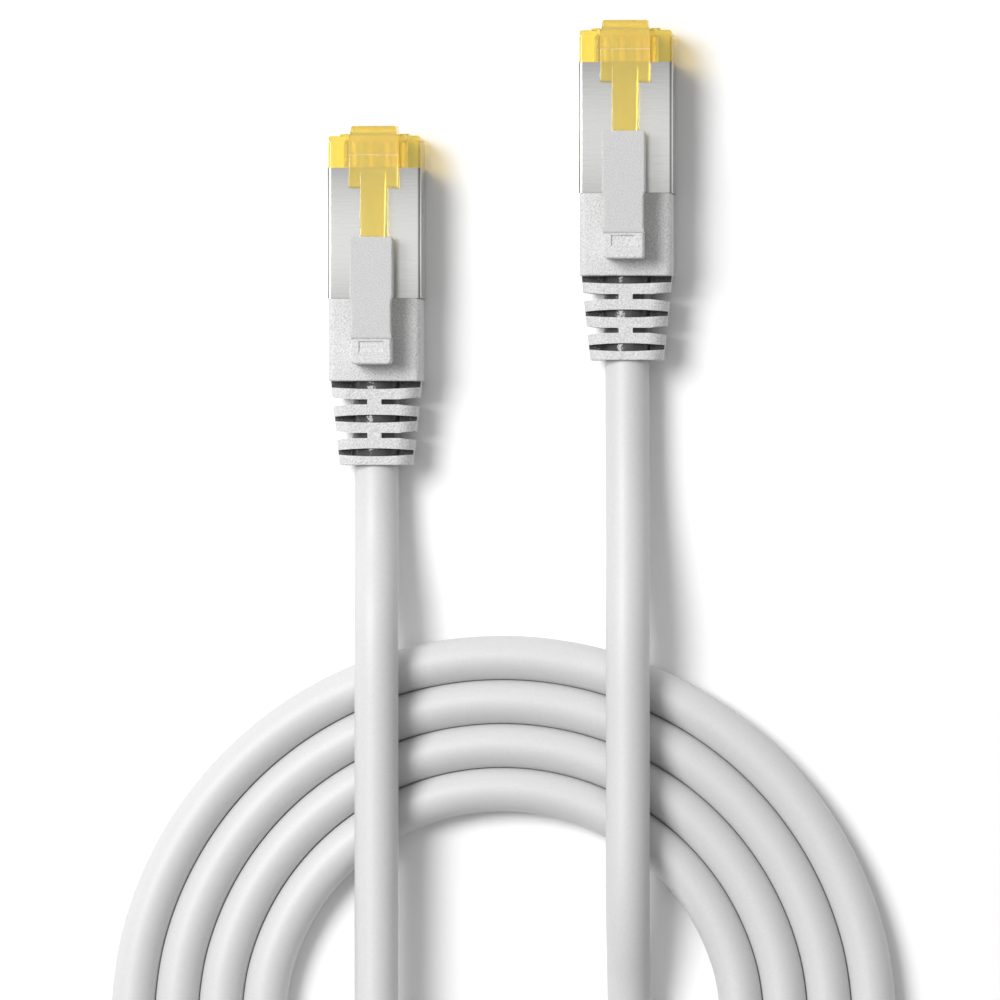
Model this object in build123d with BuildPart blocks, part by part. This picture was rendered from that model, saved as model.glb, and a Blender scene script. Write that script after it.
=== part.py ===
from build123d import *
import os
from math import atan2, cos, degrees, pi, radians, sqrt, tan

os.makedirs("parts", exist_ok=True)

# ---------------------------------------------------------------- driving sizes, mm
# A plug is drawn with its nose towards +Y and its latch up. Lengths named "..._at" or
# "..._end" are measured back from the nose's side edges, towards the cable.

# the pair of plugs on the table
plug_spacing = 31.44            # between the centre lines of the two plugs
plug_stagger = 13.1             # how far plug B lies ahead of plug A

# shielded 8P8C plug
plug_width = 11.75              # outside the metal shell
plug_height = 8.1               # outside the metal shell
shell_at = 4.0                  # front edge of the shell, where the bare nose ends
shell_end = 20.3                # rear wall of the shell
shell_gauge = 0.3
shell_bend = 0.45               # outer radius of the folded edges
shell_belly_at = 6.5            # the underside starts behind the contacts
barrel_gauge = 0.25
barrel_length = 5.7             # behind the shell's rear wall
window_length = 2.4             # catch window in each side of the shell
window_height = 1.5
window_at = 9.0

nose_inset = 0.08               # the nose stands in from the shell's sides
nose_drop = 0.35                # and its top lies under the shell's
nose_floor = 0.3
nose_edge = 0.35                # rounding of its upper edges
nose_brow_width = 8.6           # the middle of the nose stands proud of its corners
nose_brow = 0.25
lip_length = 0.76               # the lip along the front edge, with round ends
lip_corner = 0.34
lip_inset = 0.06                # its ends stand in from the nose's sides
lip_groove = 0.14               # length and depth of the groove behind it
housing_inset = 0.6             # from the housing's rear end to the shell's
cavity_wall = 0.75              # beside the outermost conductors
cavity_height = 5.0
cavity_at = 5.3

contact_count = 8
contact_pitch = 1.02
contact_gauge = 0.35
contact_slot = 0.5
contact_rise = 2.2              # top of the contact's body
contact_at = 0.45
contact_end = 4.7
conductor_lift = 0.35           # of the row of conductors above the plug's axis
conductor_play = 0.075          # round each conductor in its bore
conductor_at = 0.75
manager_length = 5.0
manager_height = 2.6
manager_edge = 0.3

# latch; its heights are measured from the top of the shell
bow_width = 5.6                 # at its front
bow_corner = 0.3
bow_flare_at = 0.9              # the bow widens to the shoulders' width up to here
shoulder_width = 6.2
tongue_width = 3.32             # at the shoulders
tongue_tail_width = 3.05
bow_reach = 1.25                # the bow stands in front of the nose
bow_gauge = 1.2
bow_rise = 0.65
bow_inner_drop = 0.2
latch_pivot_drop = 1.5
ridge_at = 2.4                  # crease between the bow and the shoulders
ridge_rise = 1.32
latch_slope = 0.149             # rise of the latch per mm behind the ridge
shoulder_at = 6.5
shoulder_clearance = 0.95       # under the shoulders, so that the latch can swing
tongue_gauge = 0.85
tongue_end = 17.0
tongue_rib_at = 4.7             # where the tongue starts to show on the shoulders
tongue_rib = 0.16
latch_edge = 0.14               # rounding of its upper edges

# boot with its strain relief, and the lever over the latch's tail
boot_inset = 0.125              # the boot stands in from the shell's sides
boot_rise = 0.15                # and its top lies over the shell's
boot_corner = 0.8
boot_body = 10.3                # length of the plain body
boot_wall = 0.55
boot_front_edge = 0.12
boot_rear_edge = 0.2
relief_inset = 0.1              # the relief starts this far inside the body
relief_last_width = 9.1
relief_last_height = 6.7
relief_corner = 2.2
relief_edge = 0.12              # rounding of the last rib's rear edges
slot_count = 5
slot_pitch = 2.1
slot_length = 1.0               # in the middle of the slots above and below
slot_end_length = 0.55          # and at their ends
side_slot_mouth = 1.25          # length of the slots in the sides, at their mouths
side_slot_root = 0.65           # and inside
web_height = 2.2                # left standing between the slots above and below
top_bridge = 1.75
lever_at = 12.75
lever_width = 5.4
lever_rear_width = 5.0
lever_neck = 0.6                # length in which the lever narrows
lever_corner = 0.3
lever_edge = 0.25               # rounding of its upper edges
lever_gauge = 1.1
lever_pivot_inset = 4.82        # from the boot's front edge
lever_skirt = 0.8
lever_skirt_depth = 0.9
lever_lip = 0.6                 # the skirts start this far behind the lever's front
lever_pad_at = 13.2
lever_pad_length = 1.0
lever_pad = 0.39                # height of the pad under the lever
pedestal_length = 3.45          # behind the lever's pivot
pedestal_corner = 0.4           # of its rear end
pedestal_edge = 0.25
recess_width = 3.1
recess_length = 1.5
recess_depth = 0.2
recess_slope = 40               # degrees

# cable
cable_diameter = 5.5
jacket_wall = 0.5
jacket_inset = 0.6              # from the shell's rear wall to the jacket's front end
foil_play = 0.3                 # of the four foiled pairs across the jacket
foil_gauge = 0.07
foil_bare = 3.7                 # length of the foiled pairs in front of the jacket
ferrule_gauge = 0.12
ferrule_length = 4.0
braid_gauge = 0.13
braid_length = 5.0
sleeve_wall = 0.3               # the inner mould's sleeve round the cable

# clearances
over = 0.5                      # how far a cutter runs past what it cuts
press_gap = 0.03                # between pieces that are pressed or moulded together
seat_gap = 0.1                  # round the rolled foot of the latch and of the lever
tip_gap = 0.4                   # behind the bow, so that it can tip back
touch_gap = 0.18                # between the lever's pad and the latch's tongue

# coil: turns side by side on the table, long in Y
turn_count = 4
turn_gap = 0.45                 # between one turn and the next
outer_turn_radius = 46.75
coil_y = -98.6                  # centre of the upper half turns
coil_stretch = 24.4             # straight length between the upper and lower half turns
crossover_drop = 10.0           # how much lower the lead from plug A turns
lead_a_x = -15.4
lead_b_x = 16.0
lead_a_y = coil_y - 6.0         # where leg A joins the coil
lead_b_rise = 5.9               # straight length of the coil's inner end

# ---------------------------------------------------------------- sizes that follow
plug_axis = plug_height / 2
cable_radius = cable_diameter / 2
jacket_bore = cable_diameter - 2 * jacket_wall
jacket_at = shell_end + jacket_inset
foil_diameter = (jacket_bore - foil_play) / (1 + sqrt(2))
pair_offset = (foil_diameter + press_gap) / sqrt(2)         # of each pair from the cable's axis
foil_at = jacket_at - foil_bare
conductor_diameter = foil_diameter / 2 - foil_gauge
conductor_bore = conductor_diameter + 2 * conductor_play
conductor_row = plug_axis + conductor_lift
conductor_xs = [(i - (contact_count - 1) / 2) * contact_pitch for i in range(contact_count)]
ferrule_bore = cable_radius + press_gap / 2
braid_bore = ferrule_bore + ferrule_gauge + press_gap / 2
barrel_bore = braid_bore + braid_gauge + press_gap
barrel_end = shell_end + barrel_length
sleeve_radius = cable_radius + press_gap + sleeve_wall

shell_inner_width = plug_width - 2 * shell_gauge
shell_inner_height = plug_height - 2 * shell_gauge
nose_width = plug_width - 2 * nose_inset
nose_top = plug_height - nose_drop
housing_end = shell_end - housing_inset
cavity_width = conductor_xs[-1] - conductor_xs[0] + conductor_bore + 2 * cavity_wall

bow_top = plug_height + bow_rise
bow_inner_top = plug_height - bow_inner_drop
ridge_height = plug_height + ridge_rise
shoulder_underside = plug_height + shoulder_clearance
latch_pivot_y = bow_reach - bow_gauge / 2
latch_pivot_height = plug_height - latch_pivot_drop
foot_radius = bow_gauge / 2

boot_at = shell_end + press_gap
boot_width = plug_width - 2 * boot_inset
boot_height = plug_height + boot_rise
boot_body_end = boot_at + boot_body
boot_end = boot_body_end + slot_count * slot_pitch
mould_width = boot_width - 2 * boot_wall
mould_height = plug_height - 2 * boot_wall
mould_end = boot_body_end - boot_wall


def block(width, front, back, low, high, x=0, mode=Mode.ADD):
    """A box from front to back behind the nose, and from low to high above the table."""
    with Locations((x, -(front + back) / 2, (low + high) / 2)):
        Box(width, back - front, high - low, mode=mode)


def rod(radius, front, back, x=0, z=plug_axis, mode=Mode.ADD):
    """A cylinder along the plug, from front to back behind the nose."""
    with Locations((x, -(front + back) / 2, z)):
        Cylinder(radius, back - front, rotation=(90, 0, 0), mode=mode)


def axle(radius, y, z, length, mode=Mode.ADD):
    """A cylinder across the plug."""
    with Locations((0, y, z)):
        Cylinder(radius, length, rotation=(0, 90, 0), mode=mode)


def latch_top(back):
    """Height of the tongue's upper face at a distance behind the nose."""
    return ridge_height + (back - ridge_at) * latch_slope


lever_underside = latch_top(lever_pad_at + lever_pad_length) + touch_gap + lever_pad
lever_top = lever_underside + lever_gauge
knuckle_radius = lever_gauge / 2
lever_pivot_at = boot_at + lever_pivot_inset
lever_pivot_height = lever_underside + knuckle_radius
lever_neck_at = boot_at - seat_gap

# ---------------------------------------------------------------- housing
stub_top = latch_pivot_height - foot_radius / 2
stub_foot = latch_pivot_height - 4 * foot_radius
stub_edge = 0.5
catch_reach = shell_gauge - press_gap

with BuildPart() as housing:
    with BuildSketch(Plane.XY.offset(nose_floor)):
        with Locations((0, -(lip_length + shell_at - press_gap) / 2)):
            Rectangle(nose_width, shell_at - press_gap - lip_length)
    extrude(amount=nose_top - nose_floor)
    fillet(housing.edges().filter_by(Axis.Y).group_by(Axis.Z)[-1], nose_edge)
    # lip along the front edge, and the brow that stands proud of it
    with BuildSketch(Plane.XY.offset(nose_floor)):
        with Locations((0, -lip_length / 2)):
            RectangleRounded(nose_width - 2 * lip_inset, lip_length, lip_corner)
        with Locations((0, (nose_brow - lip_length) / 2)):
            Rectangle(nose_brow_width, nose_brow + lip_length)
    extrude(amount=nose_top - nose_floor)
    fillet(housing.faces().sort_by(Axis.Y)[-1].edges().filter_by(Axis.X), 0.8 * nose_brow)
    block(nose_width + over, lip_length, lip_length + lip_groove, nose_top - lip_groove, nose_top + over,
          mode=Mode.SUBTRACT)
    # the part inside the shell
    with BuildSketch(Plane.XZ.offset(shell_at - press_gap)):
        with Locations((0, plug_axis)):
            RectangleRounded(
                shell_inner_width - 2 * press_gap,
                shell_inner_height - 2 * press_gap,
                shell_bend - shell_gauge,
            )
    extrude(amount=housing_end - shell_at + press_gap)
    cavity_low = plug_axis - cavity_height / 2
    cavity_top = cavity_low + cavity_height
    block(cavity_width, cavity_at, housing_end + over, cavity_low, cavity_top, mode=Mode.SUBTRACT)
    # room for the bow, then the stub that carries it
    bow_room = shoulder_width + 2 * seat_gap
    block(bow_room, -nose_brow - over, tip_gap, stub_top, nose_top + over, mode=Mode.SUBTRACT)
    block(bow_width, -bow_reach, tip_gap, stub_foot, stub_top)
    fillet(housing.edges().filter_by(Axis.X).group_by(Axis.Y)[-1].group_by(Axis.Z)[0], stub_edge)
    axle(foot_radius + seat_gap, latch_pivot_y, latch_pivot_height, bow_room, mode=Mode.SUBTRACT)
    for x in conductor_xs:
        bore_at = conductor_at - seat_gap
        rod(conductor_bore / 2, bore_at, cavity_at + over, x, conductor_row, mode=Mode.SUBTRACT)
        block(contact_slot, -nose_brow - over, contact_end + seat_gap, -over, contact_rise + seat_gap, x,
              mode=Mode.SUBTRACT)
        block(contact_slot, contact_at, contact_end, contact_rise, conductor_row, x, mode=Mode.SUBTRACT)
    # catches that snap into the shell's windows
    for side in (-1, 1):
        block(
            2 * catch_reach,
            window_at + press_gap,
            window_at + window_length - press_gap,
            plug_axis - window_height / 2 + press_gap,
            plug_axis + window_height / 2 - press_gap,
            side * shell_inner_width / 2,
        )

# ---------------------------------------------------------------- latch
with BuildPart() as tongue:
    with BuildSketch(Plane.YZ):
        with BuildLine():
            Polyline(
                (-tongue_rib_at, latch_top(tongue_rib_at) - tongue_gauge),
                (-tongue_rib_at, latch_top(tongue_rib_at)),
                (-tongue_end, latch_top(tongue_end)),
                (-tongue_end, latch_top(tongue_end) - tongue_gauge),
                close=True,
            )
        make_face()
    extrude(amount=tongue_width, both=True)
    with BuildSketch(Plane.XY):
        with BuildLine():
            Polyline(
                (-tongue_width / 2, -tongue_rib_at),
                (tongue_width / 2, -tongue_rib_at),
                (tongue_tail_width / 2, -tongue_end),
                (-tongue_tail_width / 2, -tongue_end),
                close=True,
            )
        make_face()
    extrude(amount=2 * plug_height, mode=Mode.INTERSECT)
    fillet(tongue.faces().sort_by(Axis.Y)[0].edges(), tongue_gauge / 4)
    tongue_face = tongue.faces().filter_by(lambda f: f.normal_at().Z > 0.9).sort_by(Axis.Z)[-1]
    side_edges = tongue_face.edges().filter_by(lambda e: abs(e.center().X) > tongue_tail_width / 4)
    fillet(side_edges, latch_edge)

with BuildPart() as latch:
    with BuildSketch(Plane.YZ) as bow_side:
        with BuildLine():
            Polyline(
                (bow_reach, latch_pivot_height),
                (bow_reach, bow_top),
                (-ridge_at, ridge_height),
                (-ridge_at, ridge_height - tongue_rib),
                (-shoulder_at, latch_top(shoulder_at) - tongue_rib),
                (-shoulder_at, shoulder_underside),
                (-ridge_at, shoulder_underside - (shoulder_at - ridge_at) * latch_slope),
                (bow_reach - bow_gauge, bow_inner_top),
                (bow_reach - bow_gauge, latch_pivot_height),
                close=True,
            )
        make_face()
        # the sketch's own X and Y are the plug's Y and Z
        fillet(bow_side.vertices().sort_by(Axis.X)[-2:].sort_by(Axis.Y)[-1], bow_gauge / 2)
    extrude(amount=shoulder_width / 2, both=True)
    axle(foot_radius, latch_pivot_y, latch_pivot_height, shoulder_width)
    with BuildSketch(Plane.XY) as bow_plan:
        with BuildLine():
            Polyline(
                (-bow_width / 2, bow_reach),
                (bow_width / 2, bow_reach),
                (shoulder_width / 2, -bow_flare_at),
                (shoulder_width / 2, -shoulder_at),
                (-shoulder_width / 2, -shoulder_at),
                (-shoulder_width / 2, -bow_flare_at),
                close=True,
            )
        make_face()
        fillet(bow_plan.vertices().sort_by(Axis.Y)[-2:], bow_corner)
    extrude(amount=2 * plug_height, mode=Mode.INTERSECT)
    shoulder_face = latch.faces().filter_by(lambda f: f.normal_at().Z > 0.9).sort_by(Axis.Y)[0]
    fillet(shoulder_face.edges().filter_by(lambda e: e.center().Y < -ridge_at - over), latch_edge)
    add(tongue.part)


# ---------------------------------------------------------------- metal shell
with BuildPart() as shield_shell:
    with BuildSketch(Plane.XZ.offset(shell_at)):
        with Locations((0, plug_axis)):
            RectangleRounded(plug_width, plug_height, shell_bend)
            RectangleRounded(
                shell_inner_width,
                shell_inner_height,
                shell_bend - shell_gauge,
                mode=Mode.SUBTRACT,
            )
    extrude(amount=shell_end - shell_at)
    # rear wall and crimp barrel
    with BuildSketch(Plane.XZ.offset(shell_end - shell_gauge)):
        with Locations((0, plug_axis)):
            RectangleRounded(plug_width, plug_height, shell_bend)
    extrude(amount=shell_gauge)
    rod(barrel_bore + barrel_gauge, shell_end - shell_gauge, barrel_end)
    rod(barrel_bore, shell_end - shell_gauge - over, barrel_end + over, mode=Mode.SUBTRACT)
    # the underside is open below the contacts, and the sides have a window for each catch
    belly_width = shell_inner_width - shell_bend
    block(belly_width, shell_at - over, shell_belly_at, -over, shell_bend, mode=Mode.SUBTRACT)
    block(
        plug_width + over,
        window_at,
        window_at + window_length,
        plug_axis - window_height / 2,
        plug_axis + window_height / 2,
        mode=Mode.SUBTRACT,
    )

# ---------------------------------------------------------------- contacts
prong_count = 3
prong_length = 0.7              # at its root
prong_tip = 0.17                # length of its tip
prong_pitch = 1.25
prong_at = 0.8                  # from the contact's front edge to its first prong's centre
prong_top = conductor_row - conductor_diameter / 2 - press_gap
prong_root = contact_rise - 0.1
prong_side = degrees(atan2(prong_top - prong_root, (prong_length - prong_tip) / 2))
contact_foot = nose_floor + 0.25
contact_nose = 0.4              # rounding of its front lower corner

with BuildPart() as contact_blades:
    for x in conductor_xs:
        with BuildSketch(Plane.YZ.offset(x)) as blade_side:
            with BuildLine():
                Polyline(
                    (-contact_at, contact_foot),
                    (-contact_end, contact_foot),
                    (-contact_end, contact_rise),
                    (-contact_at, contact_rise),
                    close=True,
                )
            make_face()
            fillet(blade_side.vertices().sort_by(Axis.X)[-2:].sort_by(Axis.Y)[0], contact_nose)
            for i in range(prong_count):
                with Locations((-contact_at - prong_at - i * prong_pitch, prong_root)):
                    Trapezoid(
                        prong_length,
                        prong_top - prong_root,
                        prong_side,
                        align=(Align.CENTER, Align.MIN),
                    )
        extrude(amount=contact_gauge / 2, both=True)

# ---------------------------------------------------------------- wires inside the plug
fan_length = 5.4                # in which the row of conductors gathers into pairs
fan_end = foil_at - conductor_diameter
fan_at = fan_end - fan_length
pairs = {
    "orange": ((7, 6), (pair_offset, 0)),
    "green": ((5, 2), (0, -pair_offset)),
    "blue": ((4, 3), (0, pair_offset)),
    "brown": ((1, 0), (-pair_offset, 0)),
}
conductor_half_gap = foil_diameter / 4


def conductor_route(x, pair_x, pair_z):
    """Straight along its contact, then across to its place in the pair."""
    return [
        (x, -conductor_at, conductor_row),
        (x, -fan_at, conductor_row),
        (pair_x, -fan_end, pair_z),
        (pair_x, -foil_at, pair_z),
    ]


conductor_pairs = {}
for colour, (pins, (dx, dz)) in pairs.items():
    with BuildPart() as pair:
        for pin, side in zip(pins, (1, -1)):
            points = conductor_route(conductor_xs[pin], dx + side * conductor_half_gap, plug_axis + dz)
            with BuildLine() as route:
                FilletPolyline(*points, radius=conductor_diameter)
            with BuildSketch(Plane.XZ.offset(conductor_at)):
                with Locations((conductor_xs[pin], conductor_row)):
                    Circle(conductor_diameter / 2)
            sweep(path=route.wire())
    conductor_pairs[colour] = pair

with BuildPart() as wire_manager:
    block(
        cavity_width - 2 * press_gap,
        cavity_at + press_gap,
        cavity_at + manager_length,
        conductor_row - manager_height / 2,
        conductor_row + manager_height / 2,
    )
    fillet(wire_manager.edges().filter_by(Axis.X), manager_edge)
    for x in conductor_xs:
        bore_end = cavity_at + manager_length + over
        rod(conductor_bore / 2, cavity_at, bore_end, x, conductor_row, mode=Mode.SUBTRACT)

with BuildPart() as pair_foils:
    for pins, (dx, dz) in pairs.values():
        rod(foil_diameter / 2, foil_at, boot_end, dx, plug_axis + dz)

with BuildPart() as jacket_end:
    rod(cable_radius, jacket_at, boot_end)
    rod(jacket_bore / 2, jacket_at - over, boot_end + over, mode=Mode.SUBTRACT)

with BuildPart() as crimp_ferrule:
    rod(ferrule_bore + ferrule_gauge, jacket_at, jacket_at + ferrule_length)
    rod(ferrule_bore, jacket_at - over, jacket_at + ferrule_length + over, mode=Mode.SUBTRACT)

with BuildPart() as cable_braid:
    rod(braid_bore + braid_gauge, jacket_at, jacket_at + braid_length)
    rod(braid_bore, jacket_at - over, jacket_at + braid_length + over, mode=Mode.SUBTRACT)

# ---------------------------------------------------------------- inner mould
with BuildPart() as inner_mould:
    block(mould_width, boot_at, mould_end, plug_axis - mould_height / 2, plug_axis + mould_height / 2)
    fillet(inner_mould.edges().filter_by(Axis.Y), boot_corner / 2)
    rod(sleeve_radius, mould_end, boot_end)
    barrel_room = barrel_bore + barrel_gauge + press_gap
    rod(barrel_room, boot_at - over, barrel_end + press_gap, mode=Mode.SUBTRACT)
    rod(cable_radius + press_gap, barrel_end, boot_end + over, mode=Mode.SUBTRACT)

# ---------------------------------------------------------------- boot
relief_width = boot_width - 2 * relief_inset
relief_height = plug_height - 2 * relief_inset
relief_length = boot_end - boot_body_end
web_top = plug_axis + web_height / 2
web_floor = plug_axis - web_height / 2


def relief_reach(back):
    """Half the relief's width at a distance behind the nose."""
    narrowing = (relief_width - relief_last_width) * (back - boot_body_end) / relief_length
    return (relief_width - narrowing) / 2


with BuildPart() as slots:
    for i in range(slot_count):
        middle = boot_body_end + slot_length / 2 + i * slot_pitch
        reach = relief_reach(middle)
        if i % 2 == 0:
            # bowed slots above and below, with a web between them; the first has a straight front
            past = reach + over
            front = -middle + slot_end_length / 2 if i else -boot_body_end
            rear = -middle - slot_end_length / 2
            for low, high in ((web_top, 2 * plug_height), (-plug_height, web_floor)):
                with BuildSketch(Plane.XY.offset(low)):
                    with BuildLine():
                        if i:
                            ThreePointArc((-reach, front), (0, -middle + slot_length / 2), (reach, front))
                        else:
                            Line((-reach, front), (reach, front))
                        Polyline((reach, front), (past, front), (past, rear), (reach, rear))
                        ThreePointArc((reach, rear), (0, -middle - slot_length / 2), (-reach, rear))
                        Polyline((-reach, rear), (-past, rear), (-past, front), (-reach, front))
                    make_face()
                extrude(amount=high - low)
        else:
            # wedge-shaped slots right through both sides, with a bridge above and below
            for side in (-1, 1):
                with BuildSketch(Plane.XY):
                    with BuildLine():
                        Polyline(
                            (side * top_bridge / 2, -middle + side_slot_root / 2),
                            (side * sleeve_radius, -middle + side_slot_root / 2),
                            (side * (reach + over), -middle + side_slot_mouth / 2),
                            (side * (reach + over), -middle - side_slot_mouth / 2),
                            (side * sleeve_radius, -middle - side_slot_root / 2),
                            (side * top_bridge / 2, -middle - side_slot_root / 2),
                            close=True,
                        )
                    make_face()
                extrude(amount=2 * plug_height, both=True)

with BuildPart() as relief:
    with BuildSketch(Plane.XZ.offset(boot_body_end - relief_inset)):
        with Locations((0, plug_axis)):
            RectangleRounded(relief_width, relief_height, relief_corner)
    with BuildSketch(Plane.XZ.offset(boot_end)):
        with Locations((0, plug_axis)):
            RectangleRounded(relief_last_width, relief_last_height, relief_corner)
    loft(ruled=True)
    fillet(relief.faces().sort_by(Axis.Y)[0].edges(), relief_edge)
    add(slots.part, mode=Mode.SUBTRACT)

with BuildPart() as boot:
    with BuildSketch(Plane.XZ.offset(boot_at)):
        with Locations((0, boot_height / 2)):
            RectangleRounded(boot_width, boot_height, boot_corner)
    extrude(amount=boot_body)
    fillet(boot.faces().sort_by(Axis.Y)[0].edges(), boot_rear_edge)
    fillet(boot.faces().sort_by(Axis.Y)[-1].edges(), boot_front_edge)
    block(
        mould_width + 2 * press_gap,
        boot_at - over,
        mould_end + press_gap,
        plug_axis - mould_height / 2 - press_gap,
        plug_axis + mould_height / 2 + press_gap,
        mode=Mode.SUBTRACT,
    )
    add(relief.part)
    rod(sleeve_radius + press_gap, mould_end, boot_end + over, mode=Mode.SUBTRACT)
    # pedestal that carries the lever
    with BuildSketch(Plane.XY.offset(boot_height - boot_wall / 2)) as pedestal_plan:
        with Locations((0, -lever_pivot_at - (seat_gap + pedestal_length) / 2)):
            Rectangle(lever_rear_width, pedestal_length - seat_gap)
        fillet(pedestal_plan.vertices().sort_by(Axis.Y)[:2], pedestal_corner)
    extrude(amount=lever_top - boot_height + boot_wall / 2)
    fillet(boot.faces().sort_by(Axis.Z)[-1].edges().sort_by(Axis.Y)[:-1], pedestal_edge)
    axle(knuckle_radius + seat_gap, -lever_pivot_at, lever_pivot_height, lever_width, mode=Mode.SUBTRACT)
    with BuildSketch(Plane.XY.offset(lever_top)):
        with Locations((0, -lever_pivot_at - knuckle_radius - recess_length / 2)):
            Rectangle(recess_width, recess_length)
    extrude(amount=-recess_depth, taper=recess_slope, mode=Mode.SUBTRACT)

# ---------------------------------------------------------------- lever
with BuildPart() as lever:
    with BuildSketch(Plane.XY.offset(lever_underside)) as lever_plan:
        with BuildLine():
            Polyline(
                (-lever_width / 2, -lever_at),
                (lever_width / 2, -lever_at),
                (lever_width / 2, -lever_neck_at),
                (lever_rear_width / 2, -lever_neck_at - lever_neck),
                (lever_rear_width / 2, -lever_pivot_at),
                (-lever_rear_width / 2, -lever_pivot_at),
                (-lever_rear_width / 2, -lever_neck_at - lever_neck),
                (-lever_width / 2, -lever_neck_at),
                close=True,
            )
        make_face()
        fillet(lever_plan.vertices().sort_by(Axis.Y)[-2:], lever_corner)
    extrude(amount=lever_gauge)
    upper_edges = lever.faces().sort_by(Axis.Z)[-1].edges().sort_by(Axis.Y)[1:]
    fillet(upper_edges, lever_edge)
    axle(knuckle_radius, -lever_pivot_at, lever_pivot_height, lever_rear_width)
    for side in (-1, 1):
        block(
            lever_skirt,
            lever_at + lever_lip,
            lever_neck_at,
            lever_underside - lever_skirt_depth,
            lever_underside + lever_gauge / 2,
            side * (lever_width - lever_skirt) / 2,
        )
    block(
        tongue_width,
        lever_pad_at,
        lever_pad_at + lever_pad_length,
        latch_top(lever_pad_at + lever_pad_length) + touch_gap,
        lever_underside + lever_gauge / 2,
    )

# ---------------------------------------------------------------- both plugs in their places
overall_length = boot_end + bow_reach + plug_stagger
nose_y = overall_length / 2 - plug_stagger - bow_reach
places = {
    "a": (-plug_spacing / 2, nose_y, 0),
    "b": (plug_spacing / 2, nose_y + plug_stagger, 0),
}
plug_pieces = {
    "housing": housing,
    "latch": latch,
    "shield_shell": shield_shell,
    "contact_blades": contact_blades,
    "wire_manager": wire_manager,
    "pair_foils": pair_foils,
    "jacket_end": jacket_end,
    "crimp_ferrule": crimp_ferrule,
    "cable_braid": cable_braid,
    "inner_mould": inner_mould,
    "boot": boot,
    "lever": lever,
}
for colour, pair in conductor_pairs.items():
    plug_pieces[f"{colour}_conductors"] = pair

for plug, place in places.items():
    for piece_name, piece in plug_pieces.items():
        with BuildPart() as placed:
            with Locations(place):
                add(piece.part)
        placed.part.label = f"{piece_name}_{plug}"
        export_step(placed.part, f"parts/{piece_name}_{plug}.step")
print(f"origin to nose of plug A {nose_y:.3f}, boot end {boot_end:.3f}")
print(f"latch pivot y {latch_pivot_y:.3f}, lever pivot {lever_pivot_at:.3f} behind the nose")

# ---------------------------------------------------------------- cable
floor_z = cable_radius
over_z = floor_z + cable_diameter + turn_gap    # lying on top of the turns
turn_pitch = cable_diameter + turn_gap
turn_radii = [outer_turn_radius - i * turn_pitch for i in range(turn_count)]
lower_y = coil_y - coil_stretch
crossover_y = lower_y - crossover_drop

# The legs' points, by hand: out of the boot, up over the turns, and down again for leg B.
leg_a_points = [
    (places["a"][0], places["a"][1] - boot_end, plug_axis),
    (places["a"][0], coil_y + 64.6, plug_axis),
    (-15.6, coil_y + 58.1, 5.3),
    (-15.45, coil_y + 51.8, 7.75),
    (-15.4, coil_y + 46.3, 8.75),
    (-15.5, coil_y + 34.0, 8.8),
    (lead_a_x, coil_y + 14.0, over_z),
    (lead_a_x, lead_a_y, over_z),
]
leg_b_points = [
    (places["b"][0], places["b"][1] - boot_end, plug_axis),
    (places["b"][0], coil_y + 73.4, plug_axis),
    (15.85, coil_y + 61.5, 5.5),
    (16.0, coil_y + 49.5, 8.75),
    (16.1, coil_y + 35.0, 8.85),
    (16.0, coil_y + 20.5, 8.72),
    (15.95, coil_y + 12.5, 7.25),
    (16.0, coil_y + 4.5, 4.2),
    (16.1, coil_y - 3.5, 2.8),
    (lead_b_x, coil_y - 11.0, floor_z),
    (lead_b_x, lower_y + lead_b_rise, floor_z),
]


def leg_radii(points):
    """As large an arc at each point as its two runs allow."""
    corners = [Vector(*p) for p in points]
    radii = []
    for before, here, after in zip(corners, corners[1:], corners[2:]):
        shorter = min((here - before).length, (after - here).length)
        turn = (here - before).get_angle(after - here)
        radii.append(0.45 * shorter / tan(radians(turn) / 2))
    return radii


legs = {"cable_leg_a": leg_a_points, "cable_leg_b": leg_b_points}
samples = {}
for leg_name, points in legs.items():
    radii = leg_radii(points)
    with BuildPart() as leg:
        with BuildLine() as route:
            FilletPolyline(*points, radius=radii)
        with BuildSketch(Plane.XZ.offset(-points[0][1])):
            with Locations((points[0][0], points[0][2])):
                Circle(cable_radius)
        sweep(path=route.wire())
    leg.part.label = leg_name
    export_step(leg.part, f"parts/{leg_name}.step")
    length = route.wire().length
    samples[leg_name] = [route.wire() @ (i / 300) for i in range(301)]
    filled = leg.part.volume / (pi * cable_radius ** 2 * length)
    print(leg_name, "length", round(length, 1), "volume ratio", round(filled, 5))
    print(leg_name, "radii", [round(r, 1) for r in radii])


def climb(start, heading, finish, arrival):
    """Two tangent arcs from start, leaving along heading, to finish, reached along arrival."""
    v = Vector(*finish) - Vector(*start)
    t0 = Vector(*heading)
    t1 = Vector(*arrival)
    spread = 2 * (1 - t0.dot(t1))
    reach = (sqrt(v.dot(t0 + t1) ** 2 + spread * v.dot(v)) - v.dot(t0 + t1)) / spread
    first_corner = Vector(*start) + t0 * reach
    last_corner = Vector(*finish) - t1 * reach
    middle = (first_corner + last_corner) / 2
    TangentArc(start, middle, tangent=t0)
    TangentArc(middle, finish, tangent=last_corner - first_corner)


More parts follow.
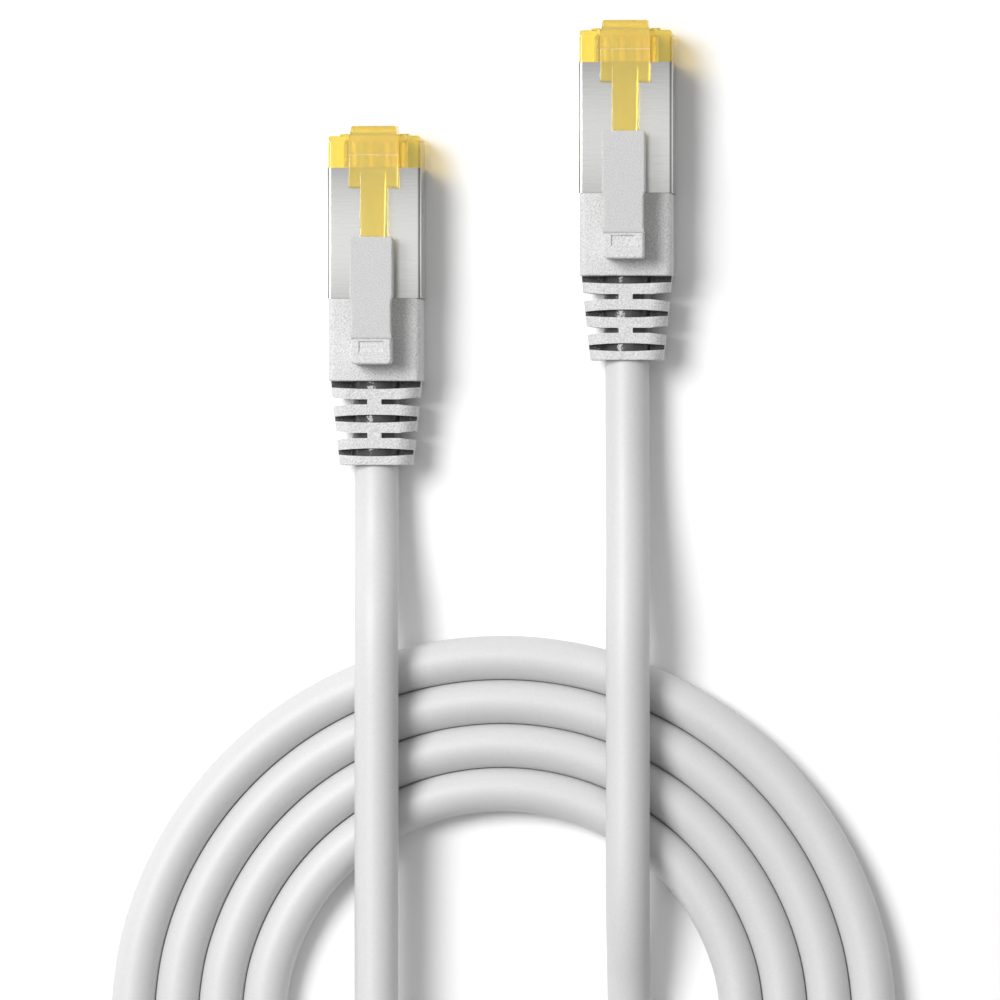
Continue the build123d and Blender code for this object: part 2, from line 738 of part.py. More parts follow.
with BuildPart() as cable_coil:
    with BuildLine() as winding:
        # lead from plug A: across the lower turns on top of them, then down outside them
        crossover_radius = (turn_radii[0] - lead_a_x) / 2
        crossover_x = (turn_radii[0] + lead_a_x) / 2
        Line((lead_a_x, lead_a_y, over_z), (lead_a_x, crossover_y, over_z))
        halfway = crossover_radius * cos(pi / 4)
        ThreePointArc(
            (lead_a_x, crossover_y, over_z),
            (crossover_x - halfway, crossover_y - halfway, over_z),
            (crossover_x, crossover_y - crossover_radius, over_z),
        )
        climb(
            (crossover_x, crossover_y - crossover_radius, over_z),
            (1, 0, 0),
            (turn_radii[0], crossover_y, floor_z),
            (0, 1, 0),
        )
        right_x = turn_radii[0]
        right_y = crossover_y
        for i, radius in enumerate(turn_radii):
            # up the right side, over the top and down the left side
            Line((right_x, right_y, floor_z), (radius, coil_y, floor_z))
            top = (0, coil_y + radius, floor_z)
            ThreePointArc((radius, coil_y, floor_z), top, (-radius, coil_y, floor_z))
            Line((-radius, coil_y, floor_z), (-radius, lower_y, floor_z))
            # round the bottom to the next turn, and from the last turn to leg B
            right_x = turn_radii[i + 1] if i + 1 < turn_count else lead_b_x
            right_y = lower_y
            half = (right_x + radius) / 2
            ThreePointArc(
                (-radius, lower_y, floor_z),
                (-radius + half, lower_y - half, floor_z),
                (right_x, lower_y, floor_z),
            )
        Line((lead_b_x, lower_y, floor_z), (lead_b_x, lower_y + lead_b_rise, floor_z))
    with BuildSketch(Plane.XZ.offset(-lead_a_y)):
        with Locations((lead_a_x, over_z)):
            Circle(cable_radius)
    sweep(path=winding.wire())
cable_coil.part.label = "cable_coil"
export_step(cable_coil.part, "parts/cable_coil.step")

coil_length = winding.wire().length
step_count = int(coil_length)
line = [winding.wire() @ (i / step_count) for i in range(step_count + 1)]
apart = int(3 * cable_diameter)
least = min(
    (line[i] - line[j]).length for i in range(step_count + 1) for j in range(i + apart, step_count + 1)
)
print("coil length", round(coil_length, 1), "volume ratio",
      round(cable_coil.part.volume / (pi * cable_radius ** 2 * coil_length), 5))
print("coil's least gap to itself", round(least - cable_diameter, 3))
for leg_name, points in samples.items():
    clear_of_join = [p for p in points if (p - points[-1]).length > 2 * cable_diameter]
    least = min((p - q).length for p in clear_of_join for q in line)
    print(leg_name, "least gap to the coil", round(least - cable_diameter, 3))
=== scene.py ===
import bpy
from math import cos, sin, pi, radians
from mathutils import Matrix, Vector


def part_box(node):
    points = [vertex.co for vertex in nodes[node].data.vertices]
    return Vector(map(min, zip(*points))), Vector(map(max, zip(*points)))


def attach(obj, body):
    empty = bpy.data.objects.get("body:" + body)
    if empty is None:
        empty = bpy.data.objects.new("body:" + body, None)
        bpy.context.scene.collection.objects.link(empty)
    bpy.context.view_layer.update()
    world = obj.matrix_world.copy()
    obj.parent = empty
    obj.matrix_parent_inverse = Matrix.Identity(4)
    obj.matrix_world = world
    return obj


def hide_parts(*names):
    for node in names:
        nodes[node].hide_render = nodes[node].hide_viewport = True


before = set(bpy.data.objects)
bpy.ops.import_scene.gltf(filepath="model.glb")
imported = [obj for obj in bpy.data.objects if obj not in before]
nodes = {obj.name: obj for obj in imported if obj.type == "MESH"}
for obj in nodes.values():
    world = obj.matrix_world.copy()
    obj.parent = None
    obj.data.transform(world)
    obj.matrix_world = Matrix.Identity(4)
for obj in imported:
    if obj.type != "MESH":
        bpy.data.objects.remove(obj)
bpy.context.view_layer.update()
scene = bpy.context.scene
mm = 0.001
print("frame loaded")


# sRGB hex to the linear colour that the shaders take
def linear(hexColour):
    parts = [int(hexColour[i : i + 2], 16) / 255 for i in (1, 3, 5)]
    return [p / 12.92 if p <= 0.04045 else ((p + 0.055) / 1.055) ** 2.4 for p in parts] + [1]


# adds a node with its settings; an input takes a value, or a link from another node's output
def addNode(tree, kind, settings={}, inputs={}):
    node = tree.nodes.new(kind)
    for name, value in settings.items():
        setattr(node, name, value)
    for name, value in inputs.items():
        if isinstance(value, bpy.types.NodeSocket):
            tree.links.new(value, node.inputs[name])
        else:
            node.inputs[name].default_value = value
    return node


def newMaterial(name):
    material = bpy.data.materials.new(name)
    material.use_nodes = True
    material.node_tree.nodes.clear()
    return material, material.node_tree


def finishMaterial(tree, shader):
    addNode(tree, "ShaderNodeOutputMaterial", {}, {"Surface": shader.outputs[0]})


# scale of a noise texture whose patches are about this many millimetres wide
def everyMillimetres(size):
    return 1 / (size * mm)


noiseSpread = (0.3, 0.7)  # nearly all of a noise texture's values lie between these
waveStretch = 6.28  # a wave texture's bands are this much narrower than a noise texture's patches


# the camera stands almost straight above the table
shot = {
    "centre": Vector((-0.1, -32.1, 6)) * mm,
    "lean": 4,  # degrees that it stands to the right of straight above
    "width": 125 * mm,  # of the table that the frame takes in
    "lens": 300,  # mm; long, so that the plugs hardly lean
    "sensor": 36,  # mm
    "sees": (0.01, 20),  # metres, nearest and farthest
}
cameraData = bpy.data.cameras.new("Camera")
cameraData.lens = shot["lens"]
cameraData.sensor_width = shot["sensor"]
cameraData.clip_start, cameraData.clip_end = shot["sees"]
camera = bpy.data.objects.new("Camera", cameraData)
scene.collection.objects.link(camera)
lean = radians(shot["lean"])
distance = shot["width"] * shot["lens"] / shot["sensor"]
camera.location = shot["centre"] + Vector((sin(lean), 0, cos(lean))) * distance
camera.rotation_euler = (0, lean, 0)
scene.camera = camera
print("camera placed")

# one round cable, laid flat; millimetres, apart from the length
cable = {
    "diameter": 5.5,
    "length": 1.42,  # metres, between the boots
    "coilCentre": (0, -98.6),
    "turns": 4,
    "outerTurn": 46.75,  # radius of the outermost turn's middle line
    "pitch": 5.51,  # from one turn to the next
    "straight": 24.4,  # of the coil's sides, below its centre
    "crossoverDrop": 10,  # how much lower than the turns the lead from plug A turns
    "halfTurnPoints": 12,
    "restGap": 0.06,  # between crossing stretches
    "roundness": 12,  # the more, the finer the cable's section
    "smoothness": 8,  # steps from one point of the route to the next
}
onTable = cable["diameter"] / 2
onTurns = cable["diameter"] * 1.5 + cable["restGap"]
coilX, coilY = cable["coilCentre"]

# measured from the coil's centre: out of plug A's boot, up over the turns and straight on
legA = [
    (-15.72, 70.86, 4.05),
    (-15.72, 65.8, 4.05),
    (-15.6, 60.0, 5.2),
    (-15.45, 54.3, 7.4),
    (-15.4, 48.4, 8.5),
    (-15.4, 34.0, onTurns),
    (-15.4, 14.0, onTurns),
    (-15.4, -6.0, onTurns),
    (-15.4, -24.0, onTurns),
]
# out of plug B's boot, over the turns, and down to the table inside them
legB = [
    (15.72, 83.96, 4.05),
    (15.72, 76.0, 4.05),
    (15.85, 66.0, 4.8),
    (16.0, 57.0, 7.1),
    (16.0, 48.8, 8.5),
    (16.05, 35.0, onTurns),
    (16.0, 20.5, onTurns),
    (16.0, 12.5, 7.0),
    (16.0, 4.5, 4.0),
    (16.0, -4.5, onTable),
    (16.0, -14.0, onTable),
]


# control points round an arc, set a little outside it, because the curve cuts inside its points:
# beside each point it runs through 3/4 of that point and 1/8 of each neighbour
def arcPoints(x, y, radius, start, end, count, z):
    step = (end - start) / count
    reach = radius / (3 / 4 + 2 / 8 * cos(step))
    angles = [start + step * (i + 0.5) for i in range(count)]
    return [(x + reach * cos(angle), y + reach * sin(angle), z) for angle in angles]


def coilPoints():
    count = cable["halfTurnPoints"]
    lowerY = -cable["straight"]
    leadY = lowerY - cable["crossoverDrop"]
    right, left = cable["outerTurn"], legA[-1][0]
    # the lead from plug A crosses the lower turns on top of them, then eases down outside them
    lead = arcPoints(
        (right + left) / 2, leadY, (right - left) / 2, pi, 2 * pi, count, onTurns
    )
    points = []
    for i, (x, y, z) in enumerate(lead):
        fall = min(max((i - count / 2) / (count / 2 - 1), 0), 1)
        ease = fall * fall * (3 - 2 * fall)
        points.append((x, y, z + (onTable - z) * ease))
    for turn in range(cable["turns"]):
        radius = cable["outerTurn"] - turn * cable["pitch"]
        points.append((radius, lowerY / 2, onTable))
        points += arcPoints(0, 0, radius, 0, pi, count, onTable)
        points.append((-radius, lowerY / 2, onTable))
        inner = radius - cable["pitch"] if turn + 1 < cable["turns"] else legB[-1][0]
        points += arcPoints(
            (inner - radius) / 2, lowerY, (inner + radius) / 2, pi, 2 * pi, count, onTable
        )
    return points


def makeCable():
    route = legA + coilPoints() + legB[::-1]
    curve = bpy.data.curves.new("cable", "CURVE")
    curve.dimensions = "3D"
    curve.bevel_depth = 1  # times the radius at each point, which also sizes the curve's box
    curve.bevel_resolution = cable["roundness"]
    curve.resolution_u = cable["smoothness"]
    curve.use_fill_caps = True
    spline = curve.splines.new("NURBS")
    spline.points.add(len(route) - 1)
    for point, (x, y, z) in zip(spline.points, route):
        point.co = ((x + coilX) * mm, (y + coilY) * mm, z * mm, 1)
        point.radius = cable["diameter"] / 2 * mm
    spline.order_u = 3
    spline.use_endpoint_u = True
    piece = bpy.data.objects.new("cable", curve)
    scene.collection.objects.link(piece)
    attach(piece, "root")
    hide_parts("cable_leg_a", "cable_coil", "cable_leg_b")
    x, y, z = legA[0]
    return piece


cablePiece = makeCable()
print("cable laid")

jacketLook = {
    "colours": ("#D5D5D5", "#D1D1D1"),  # of the grain's hills, and of its pits, which are painted darker as shade
    "roughness": 0.48,
    "ior": 1.53,
    "grain": 0.35,  # mm
    "stretch": (1, 1, 1),
    "turn": 0,  # degrees
    "depth": 0.004,  # mm
}
# the real grain is about 0.1 mm and drawn coarser here, so that it shows
bootLook = {
    "colours": ("#EAEAEA", "#C5C5C5"),
    "roughness": 0.5,
    "ior": 1.53,
    "grain": 0.17,
    "stretch": (1, 0.6, 0.7),
    "turn": 45,
    "depth": 0.17,
}
# painted shade: the level bottoms of the slots above and below are painted dark, as the shade where
# little light gets in
slotShade = {
    "colour": "#3B3A39",
    "roughness": 0.2,
    "middleHeight": 4.05,  # mm over the table
    "reach": 1.3,  # mm above and below that height
    "levelAbove": 0.9,  # of a face's turn up or down, from 0 to 1
}
leverLook = {
    **bootLook,
    "colours": ("#D7D7D7", "#BBBBBB"),
    "grain": 0.14,
    "stretch": (1, 0.85, 0.85),
    "depth": 0.11,
}


# PVC with the grain that its die or mould leaves: a soft highlight that the grain breaks up,
# over pits painted darker than the hills between them, as painted shade
def grainedPvc(name, look, paintedSlotShade=None):
    material, tree = newMaterial(name)
    coords = addNode(tree, "ShaderNodeTexCoord").outputs["Object"]
    turn = (0, 0, radians(look["turn"]))
    turned = addNode(tree, "ShaderNodeMapping", {}, {"Vector": coords, "Rotation": turn})
    drawn = addNode(
        tree, "ShaderNodeMapping", {}, {"Vector": turned.outputs[0], "Scale": look["stretch"]}
    )
    grain = addNode(
        tree,
        "ShaderNodeTexNoise",
        {},
        {"Vector": drawn.outputs[0], "Scale": everyMillimetres(look["grain"]), "Detail": 2},
    )
    height = addNode(
        tree,
        "ShaderNodeMapRange",
        {},
        {
            "Value": grain.outputs["Fac"],
            "From Min": noiseSpread[0],
            "From Max": noiseSpread[1],
        },
    )
    # painted shade: the lower the grain, the darker its colour
    colour = addNode(
        tree,
        "ShaderNodeMix",
        {"data_type": "RGBA"},
        {
            "Factor": height.outputs[0],
            "A": linear(look["colours"][1]),
            "B": linear(look["colours"][0]),
        },
    )
    roughness = look["roughness"]
    # painted shade: level faces near the slots' middle height turn dark and a little glossier
    if paintedSlotShade:
        place = addNode(tree, "ShaderNodeSeparateXYZ", {}, {"Vector": coords})
        facing = addNode(
            tree,
            "ShaderNodeSeparateXYZ",
            {},
            {"Vector": addNode(tree, "ShaderNodeNewGeometry").outputs["True Normal"]},
        )
        near = addNode(
            tree,
            "ShaderNodeMath",
            {"operation": "COMPARE"},
            {0: place.outputs["Z"], 1: paintedSlotShade["middleHeight"] * mm, 2: paintedSlotShade["reach"] * mm},
        )
        upward = addNode(
            tree,
            "ShaderNodeMath",
            {"operation": "ABSOLUTE"},
            {0: facing.outputs["Z"]},
        )
        level = addNode(
            tree,
            "ShaderNodeMath",
            {"operation": "GREATER_THAN"},
            {0: upward.outputs[0], 1: paintedSlotShade["levelAbove"]},
        )
        slotShadeMask = addNode(
            tree,
            "ShaderNodeMath",
            {"operation": "MULTIPLY"},
            {0: near.outputs[0], 1: level.outputs[0]},
        )
        colour = addNode(
            tree,
            "ShaderNodeMix",
            {"data_type": "RGBA"},
            {
                "Factor": slotShadeMask.outputs[0],
                "A": colour.outputs["Result"],
                "B": linear(paintedSlotShade["colour"]),
            },
        )
        roughness = addNode(
            tree,
            "ShaderNodeMapRange",
            {},
            {"Value": slotShadeMask.outputs[0], "To Min": roughness, "To Max": paintedSlotShade["roughness"]},
        ).outputs[0]
    bump = addNode(
        tree,
        "ShaderNodeBump",
        {},
        {"Height": grain.outputs["Fac"], "Distance": look["depth"] * mm},
    )
    shader = addNode(
        tree,
        "ShaderNodeBsdfPrincipled",
        {},
        {
            "Base Color": colour.outputs["Result"],
            "Roughness": roughness,
            "IOR": look["ior"],
            "Normal": bump.outputs["Normal"],
        },
    )
    finishMaterial(tree, shader)
    return material


housingLook = {
    "colour": "#F1DF70",
    "throughLight": "#E2D8B6",  # what light keeps of its colour when it passes one face
    "clearness": 0.7,
    "roughness": 0.08,
    "ior": 1.585,
    "flow": 1.6,  # mm between flow marks
    "depth": 0.02,
}
latchLook = {
    **housingLook,
    "colour": "#F2E28A",
    "clearness": 0.75,
    "roughness": 0.14,
    "creaseAt": 2.4,  # mm behind the nose
    "creaseLength": 0.14,
    "creaseRise": 0.12,  # mm
    # a painted highlight along the step
    "creaseHighlight": "#FFFBE4",
}


# amber polycarbonate from a polished mould: the wires and the shell's edge show through it, and
# light comes through it to them, so that the nose glows from inside
def amberPolycarbonate(name, noseY, look):
    material, tree = newMaterial(name)
    coords = addNode(tree, "ShaderNodeTexCoord").outputs["Object"]
    flow = addNode(
        tree,
        "ShaderNodeTexNoise",
        {},
        {"Vector": coords, "Scale": everyMillimetres(look["flow"]), "Detail": 3, "Distortion": 0.4},
    )
    roughness = addNode(
        tree,
        "ShaderNodeMapRange",
        {},
        {
            "Value": flow.outputs["Fac"],
            "To Min": look["roughness"] / 2,
            "To Max": look["roughness"] * 1.5,
        },
    )
    bump = addNode(
        tree,
        "ShaderNodeBump",
        {},
        {"Height": flow.outputs["Fac"], "Distance": look["depth"] * mm},
    )
    colour = linear(look["colour"])
    if "creaseAt" in look:
        # the shoulders' face starts at a small step, with a painted highlight along the step
        place = addNode(tree, "ShaderNodeSeparateXYZ", {}, {"Vector": coords})
        creaseY = noseY - look["creaseAt"] * mm
        step = addNode(
            tree,
            "ShaderNodeMapRange",
            {"interpolation_type": "SMOOTHSTEP"},
            {
                "Value": place.outputs["Y"],
                "From Min": creaseY + look["creaseLength"] * mm,
                "From Max": creaseY,
            },
        )
        bump = addNode(
            tree,
            "ShaderNodeBump",
            {},
            {
                "Height": step.outputs[0],
                "Distance": look["creaseRise"] * mm,
                "Normal": bump.outputs["Normal"],
            },
        )
        creaseHighlightBand = addNode(
            tree,
            "ShaderNodeMath",
            {"operation": "COMPARE"},
            {0: place.outputs["Y"], 1: creaseY, 2: look["creaseLength"] / 2 * mm},
        )
        colour = addNode(
            tree,
            "ShaderNodeMix",
            {"data_type": "RGBA"},
            {"Factor": creaseHighlightBand.outputs[0], "A": colour, "B": linear(look["creaseHighlight"])},
        ).outputs["Result"]
    plastic = addNode(
        tree,
        "ShaderNodeBsdfPrincipled",
        {},
        {
            "Base Color": colour,
            "Roughness": roughness.outputs[0],
            "IOR": look["ior"],
            "Transmission Weight": look["clearness"],
            "Normal": bump.outputs["Normal"],
        },
    )
    passing = addNode(
        tree,
        "ShaderNodeBsdfTransparent",
        {},
        {"Color": linear(look["throughLight"])},
    )
    path = addNode(tree, "ShaderNodeLightPath")
    mixed = addNode(
        tree,
        "ShaderNodeMixShader",
        {},
        {0: path.outputs["Is Shadow Ray"], 1: plastic.outputs[0], 2: passing.outputs[0]},
    )
    finishMaterial(tree, mixed)
    return material


shellLook = {
    "colours": ("#DEDEDC", "#A6A6A5"),  # painted sheen in the middle of the shell's length, and the darker colour at its front
    "paintedSheenAt": 13.6,  # mm behind the nose, where the painted sheen is brightest
    "reach": 10.4,  # mm from there to the darker colour
    "lines": 0.2,  # mm; real ones are finer, and these are as coarse as they need to show
    "lineDrawn": 0.09,  # how little a line changes along its length
    "lineTone": 0.4,  # how far the lines go from one colour towards the other
    "roughness": (0.14, 0.22),
    "depth": 0.0015,
}


# nickel-plated sheet, brushed across the plug into fine lines, with a soft sheen painted into its
# colour in the middle of its length
def brushedNickel(name, noseY, look):
    material, tree = newMaterial(name)
    coords = addNode(tree, "ShaderNodeTexCoord").outputs["Object"]
    drawn = addNode(
        tree, "ShaderNodeMapping", {}, {"Vector": coords, "Scale": (look["lineDrawn"], 1, 1)}
    )
    lines = addNode(
        tree,
        "ShaderNodeTexNoise",
        {},
        {
            "Vector": drawn.outputs[0],
            "Scale": everyMillimetres(look["lines"]),
            "Detail": 3,
            "Roughness": 0.7,
            "Distortion": 0.3,
        },
    )
    roughness = addNode(
        tree,
        "ShaderNodeMapRange",
        {},
        {
            "Value": lines.outputs["Fac"],
            "To Min": look["roughness"][0],
            "To Max": look["roughness"][1],
        },
    )
    place = addNode(tree, "ShaderNodeSeparateXYZ", {}, {"Vector": coords})
    brightY = noseY - look["paintedSheenAt"] * mm
    away = addNode(
        tree,
        "ShaderNodeMapRange",
        {"clamp": False},
        {
            "Value": place.outputs["Y"],
            "From Min": brightY,
            "From Max": brightY + look["reach"] * mm,
        },
    )
    lineTone = addNode(
        tree,
        "ShaderNodeMapRange",
        {},
        {
            "Value": lines.outputs["Fac"],
            "To Min": -look["lineTone"] / 2,
            "To Max": look["lineTone"] / 2,
        },
    )
    # painted sheen: the colour darkens away from the middle of the length, and the brushed lines
    # shift it a little
    sheenFalloffAndLines = addNode(
        tree,
        "ShaderNodeMath",
        {"operation": "MULTIPLY_ADD"},
        {0: away.outputs[0], 1: away.outputs[0], 2: lineTone.outputs[0]},
    )
    paintedSheen = addNode(
        tree,
        "ShaderNodeMix",
        {"data_type": "RGBA"},
        {
            "Factor": sheenFalloffAndLines.outputs[0],
            "A": linear(look["colours"][0]),
            "B": linear(look["colours"][1]),
        },
    )
    bump = addNode(
        tree,
        "ShaderNodeBump",
        {},
        {"Height": lines.outputs["Fac"], "Distance": look["depth"] * mm},
    )
    shader = addNode(
        tree,
        "ShaderNodeBsdfPrincipled",
        {},
        {
            "Base Color": paintedSheen.outputs["Result"],
            "Metallic": 1,
            "Roughness": roughness.outputs[0],
            "Normal": bump.outputs["Normal"],
        },
    )
    finishMaterial(tree, shader)
    return material


# plain surfaces, most of them inside the plug and the boot: two shades in soft patches, with an
# unevenness that moves their highlights about
def unevenSurface(name, look):
    material, tree = newMaterial(name)
    coords = addNode(tree, "ShaderNodeTexCoord").outputs["Object"]
    drawn = addNode(
        tree, "ShaderNodeMapping", {}, {"Vector": coords, "Scale": look.get("stretch", (1, 1, 1))}
    )
    uneven = addNode(
        tree,
        "ShaderNodeTexNoise",
        {},
        {"Vector": drawn.outputs[0], "Scale": everyMillimetres(look["patches"]), "Detail": 3},
    )
    colour = addNode(
        tree,
        "ShaderNodeMix",
        {"data_type": "RGBA"},
        {
            "Factor": uneven.outputs["Fac"],
            "A": linear(look["colours"][0]),
            "B": linear(look["colours"][1]),
        },
    )
    roughness = addNode(
        tree,
        "ShaderNodeMapRange",
        {},
        {
            "Value": uneven.outputs["Fac"],
            "To Min": look["roughness"][0],
            "To Max": look["roughness"][1],
        },
    )
    bump = addNode(
        tree,
        "ShaderNodeBump",
        {},
        {"Height": uneven.outputs["Fac"], "Distance": look["depth"] * mm},
    )
    shader = addNode(
        tree,
        "ShaderNodeBsdfPrincipled",
        {},
        {
            "Base Color": colour.outputs["Result"],
            "Metallic": look.get("metallic", 0),
            "Roughness": roughness.outputs[0],
            "Transmission Weight": look.get("clearness", 0),
            "Normal": bump.outputs["Normal"],
        },
    )
    finishMaterial(tree, shader)
    return material


braidLook = {
    "colours": ("#D8D5CD", "#6E6A62"),  # of the strands, and of the gaps
    "strand": 0.5,  # mm
    "turn": 38,  # degrees from the cable's own direction
    "roughness": 0.35,
    "depth": 0.12,
}


# tinned copper braid: two sets of strands cross on a slant, with dark gaps between them
def wovenBraid(name, look):
    material, tree = newMaterial(name)
    coords = addNode(tree, "ShaderNodeTexCoord").outputs["Object"]
    sets = []
    for turn in (look["turn"], -look["turn"]):
        slant = (radians(turn), 0, radians(turn))
        slanted = addNode(
            tree, "ShaderNodeMapping", {}, {"Vector": coords, "Rotation": slant}
        )
        sets.append(
            addNode(
                tree,
                "ShaderNodeTexWave",
                {"bands_direction": "Y"},
                {
                    "Vector": slanted.outputs[0],
                    "Scale": everyMillimetres(look["strand"]) / waveStretch,
                },
            )
        )
    upper = addNode(
        tree,
        "ShaderNodeMath",
        {"operation": "MAXIMUM"},
        {0: sets[0].outputs["Fac"], 1: sets[1].outputs["Fac"]},
    )
    colour = addNode(
        tree,
        "ShaderNodeMix",
        {"data_type": "RGBA"},
        {
            "Factor": upper.outputs[0],
            "A": linear(look["colours"][1]),
            "B": linear(look["colours"][0]),
        },
    )
    bump = addNode(
        tree,
        "ShaderNodeBump",
        {},
        {"Height": upper.outputs[0], "Distance": look["depth"] * mm},
    )
    shader = addNode(
        tree,
        "ShaderNodeBsdfPrincipled",
        {},
        {
            "Base Color": colour.outputs["Result"],
            "Metallic": 1,
            "Roughness": look["roughness"],
            "Normal": bump.outputs["Normal"],
        },
    )
    finishMaterial(tree, shader)
    return material


insulationLook = {
    "white": "#ECE8DE",
    "halfRoom": 0.51,  # mm, half of the room that a wire has in the row
    "bandEvery": 6.5,  # mm, half of the way from one band to the next
    "bandEdge": 0.92,  # of the wave; the higher, the narrower the bands
    "roughness": 0.35,
    "ior": 1.51,
}
wires = {
    "orange": {"colour": "#E8822A", "whiteWireAt": 3.57},  # mm from the plug's middle
    "green": {"colour": "#3C9A50", "whiteWireAt": 1.53},
    "blue": {"colour": "#3A5FB4", "whiteWireAt": -0.51},
    "brown": {"colour": "#8A4318", "whiteWireAt": -2.55},
}


# extruded polyethylene wire insulation, smooth with a soft gloss; one wire of each pair is white
# with bands of the pair's colour
def pairInsulation(name, plugX, look):
    material, tree = newMaterial(name)
    coords = addNode(tree, "ShaderNodeTexCoord").outputs["Object"]
    place = addNode(tree, "ShaderNodeSeparateXYZ", {}, {"Vector": coords})
    white = addNode(
        tree,
        "ShaderNodeMath",
        {"operation": "COMPARE"},
        {0: place.outputs["X"], 1: plugX + look["whiteWireAt"] * mm, 2: look["halfRoom"] * mm},
    )
    bands = addNode(
        tree,
        "ShaderNodeTexWave",
        {"bands_direction": "Y"},
        {
            "Vector": coords,
            "Scale": everyMillimetres(look["bandEvery"]) / waveStretch,
            "Distortion": 1,
        },
    )
    banded = addNode(
        tree,
        "ShaderNodeMath",
        {"operation": "GREATER_THAN"},
        {0: bands.outputs["Fac"], 1: look["bandEdge"]},
    )
    pale = addNode(
        tree,
        "ShaderNodeMix",
        {"data_type": "RGBA"},
        {
            "Factor": banded.outputs[0],
            "A": linear(look["white"]),
            "B": linear(look["colour"]),
        },
    )
    both = addNode(
        tree,
        "ShaderNodeMix",
        {"data_type": "RGBA"},
        {"Factor": white.outputs[0], "A": linear(look["colour"]), "B": pale.outputs["Result"]},
    )
    shader = addNode(
        tree,
        "ShaderNodeBsdfPrincipled",
        {},
        {
            "Base Color": both.outputs["Result"],
            "Roughness": look["roughness"],
            "IOR": look["ior"],
        },
    )
    finishMaterial(tree, shader)
    return material


goldLook = {
    "colours": ("#EAC064", "#D7A64C"),
    "patches": 0.4,  # mm
    "roughness": (0.15, 0.3),
    "depth": 0.004,  # mm
    "metallic": 1,
}
clearLook = {
    "colours": ("#F2F3EF", "#E4E6E0"),
    "patches": 1.5,
    "roughness": (0.08, 0.16),
    "depth": 0.01,
    "clearness": 0.7,
}
foilLook = {
    "colours": ("#DDDFE1", "#BCBEC0"),
    "patches": 0.6,
    "roughness": (0.18, 0.35),
    "depth": 0.12,
    "metallic": 1,
}
ferruleLook = {
    "colours": ("#C2C2C0", "#A3A3A2"),
    "patches": 0.15,
    "stretch": (1, 0.1, 1),
    "roughness": (0.3, 0.45),
    "depth": 0.006,
    "metallic": 1,
}
# painted shade: the inner mould, seen through the slots, is painted dark for the shade there
mouldShadeLook = {
    "colours": ("#545352", "#383736"),
    "patches": 2.4,
    "roughness": (0.12, 0.22),
    "depth": 0.3,
}

jacket = grainedPvc("extruded PVC jacket", jacketLook)
finishes = {
    "boot": grainedPvc("spark-eroded moulded PVC with painted shade", bootLook, slotShade),
    "lever": grainedPvc("pebbled moulded PVC", leverLook),
    "jacket_end": jacket,
    # warm and mirror-like, a little hazy where it was stamped
    "contact_blades": unevenSurface("gold plate", goldLook),
    # water-clear, with faint moulding waves
    "wire_manager": unevenSurface("clear polycarbonate", clearLook),
    # bright, with creases that glint in all directions
    "pair_foils": unevenSurface("crinkled aluminium foil", foilLook),
    # grey, with a dull gloss drawn out along the roll's direction
    "crimp_ferrule": unevenSurface("rolled steel", ferruleLook),
    "cable_braid": wovenBraid("tinned copper braid", braidLook),
    # painted nearly black, as the shade in the slots where it shows, with long soft glints where
    # the mould let it shrink
    "inner_mould": unevenSurface("glossy polyethylene painted dark as shade", mouldShadeLook),
}
shellFront = 4  # mm behind the nose
for plug in "ab":
    low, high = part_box(f"shield_shell_{plug}")
    plugX = (low[0] + high[0]) / 2
    noseY = high[1] + shellFront * mm
    plugFinishes = {
        **finishes,
        "housing": amberPolycarbonate(f"amber polycarbonate {plug}", noseY, housingLook),
        "latch": amberPolycarbonate(f"satin amber polycarbonate {plug}", noseY, latchLook),
        "shield_shell": brushedNickel(f"brushed nickel plate with painted sheen {plug}", noseY, shellLook),
    }
    for pair, wire in wires.items():
        insulation = pairInsulation(
            f"{pair} polyethylene {plug}", plugX, {**insulationLook, **wire}
        )
        plugFinishes[f"{pair}_conductors"] = insulation
    for pieceName, material in plugFinishes.items():
        for materialSlot in nodes[f"{pieceName}_{plug}"].material_slots:
            materialSlot.material = material
cablePiece.data.materials.append(jacket)
print("materials given")

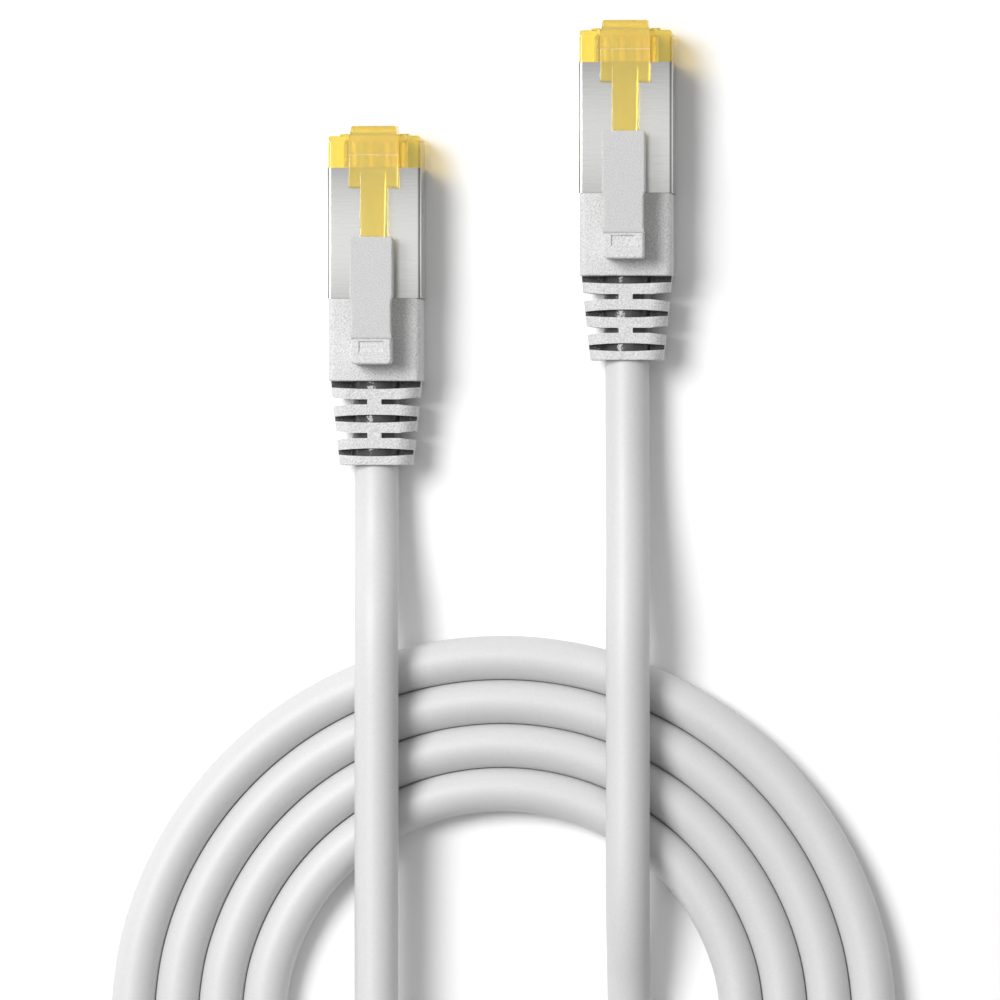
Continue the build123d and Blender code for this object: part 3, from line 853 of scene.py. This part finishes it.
# a pale table under one soft lamp, in a white tent; metres and watts
studio = {
    "tableHalf": 4,
    "keyPlace": (-0.475, 0.23, 0.89),
    "keySize": 0.52,
    "keyPower": 9.5,
    "tent": 0.28,
    "tentTurns": (-0.06, 0.22, 0),  # brighter to the left, and beyond the plugs' noses
    "roof": 0.55,  # more light straight above
    "roofNarrowness": 8,
}
boardLook = {
    "colours": ("#FFFFFF", "#FAFAFA"),
    "patches": 30,
    "roughness": (0.85, 0.95),
    "depth": 0.01,
}
half = studio["tableHalf"]
tableMesh = bpy.data.meshes.new("table")
corners = [(-half, -half, 0), (half, -half, 0), (half, half, 0), (-half, half, 0)]
tableMesh.from_pydata(corners, [], [(0, 1, 2, 3)])
table = bpy.data.objects.new("table", tableMesh)
scene.collection.objects.link(table)
table.data.materials.append(unevenSurface("matt white board", boardLook))

key = bpy.data.lights.new("key", "AREA")
key.shape = "DISK"
key.size = studio["keySize"]
key.energy = studio["keyPower"]
lamp = bpy.data.objects.new("key", key)
scene.collection.objects.link(lamp)
lamp.location = studio["keyPlace"]
lamp.rotation_euler = (shot["centre"] - lamp.location).to_track_quat("-Z", "Y").to_euler()

# the tent is brighter on one side, and straight above
world = bpy.data.worlds.new("tent")
world.use_nodes = True
tree = world.node_tree
direction = addNode(tree, "ShaderNodeTexCoord").outputs["Generated"]
turned = addNode(
    tree,
    "ShaderNodeVectorMath",
    {"operation": "DOT_PRODUCT"},
    {0: direction, 1: studio["tentTurns"]},
)
height = addNode(tree, "ShaderNodeSeparateXYZ", {}, {"Vector": direction})
upward = addNode(tree, "ShaderNodeMath", {"operation": "MAXIMUM"}, {0: height.outputs["Z"], 1: 0.0})
narrowed = addNode(
    tree,
    "ShaderNodeMath",
    {"operation": "POWER"},
    {0: upward.outputs[0], 1: studio["roofNarrowness"]},
)
roof = addNode(
    tree,
    "ShaderNodeMath",
    {"operation": "MULTIPLY_ADD"},
    {0: narrowed.outputs[0], 1: studio["roof"], 2: studio["tent"]},
)
level = addNode(
    tree,
    "ShaderNodeMath",
    {"operation": "ADD"},
    {0: turned.outputs["Value"], 1: roof.outputs[0]},
)
tree.links.new(level.outputs[0], tree.nodes["Background"].inputs["Strength"])
tree.nodes["Background"].inputs["Color"].default_value = (1, 1, 1, 1)
scene.world = world
scene.view_settings.view_transform = "Standard"
print("studio lit")
